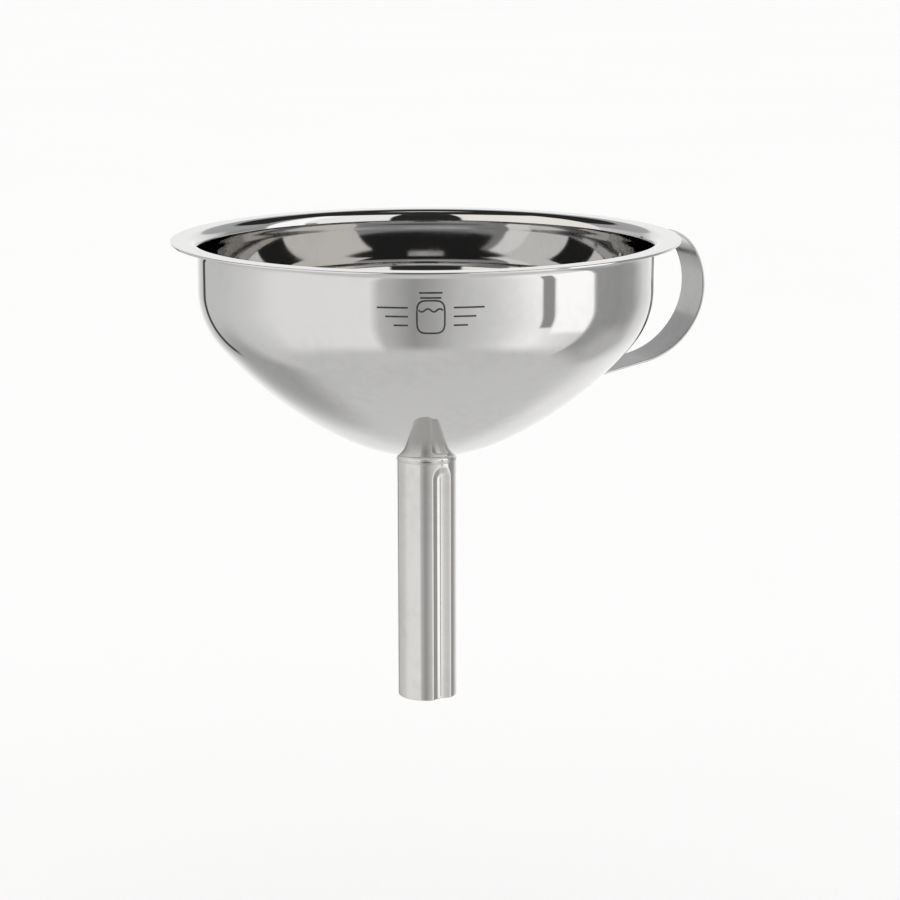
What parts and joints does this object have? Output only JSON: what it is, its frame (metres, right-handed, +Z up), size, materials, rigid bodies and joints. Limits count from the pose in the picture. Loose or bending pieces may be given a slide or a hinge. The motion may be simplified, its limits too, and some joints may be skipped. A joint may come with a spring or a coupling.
{
  "type": "funnel",
  "caption": "Polished stainless steel kitchen funnel: round bowl with a flat rim, narrow fluted spout and a bent strip handle.",
  "frame": {"origin": "centre of the spout's open lower end", "axes": "+Z up the funnel's axis to the rim, +X to the handle"},
  "size_m": [0.1429, 0.13, 0.121],
  "materials": {
    "polished_steel": "mirror polished stainless steel",
    "drawn_steel": "drawn tube, lightly polished",
    "strip_steel": "satin strip",
    "weld_metal": "dressed weld",
    "print_ink": "thin dark ink of a plain printed mark on the bowl, no solid of its own"
  },
  "bodies": {
    "root": {"bowl": "polished_steel", "spout": "drawn_steel", "spout_weld": "weld_metal", "handle": "strip_steel", "handle_top_spot_welds": "weld_metal", "handle_low_spot_welds": "weld_metal"}
  },
  "joints": []
}
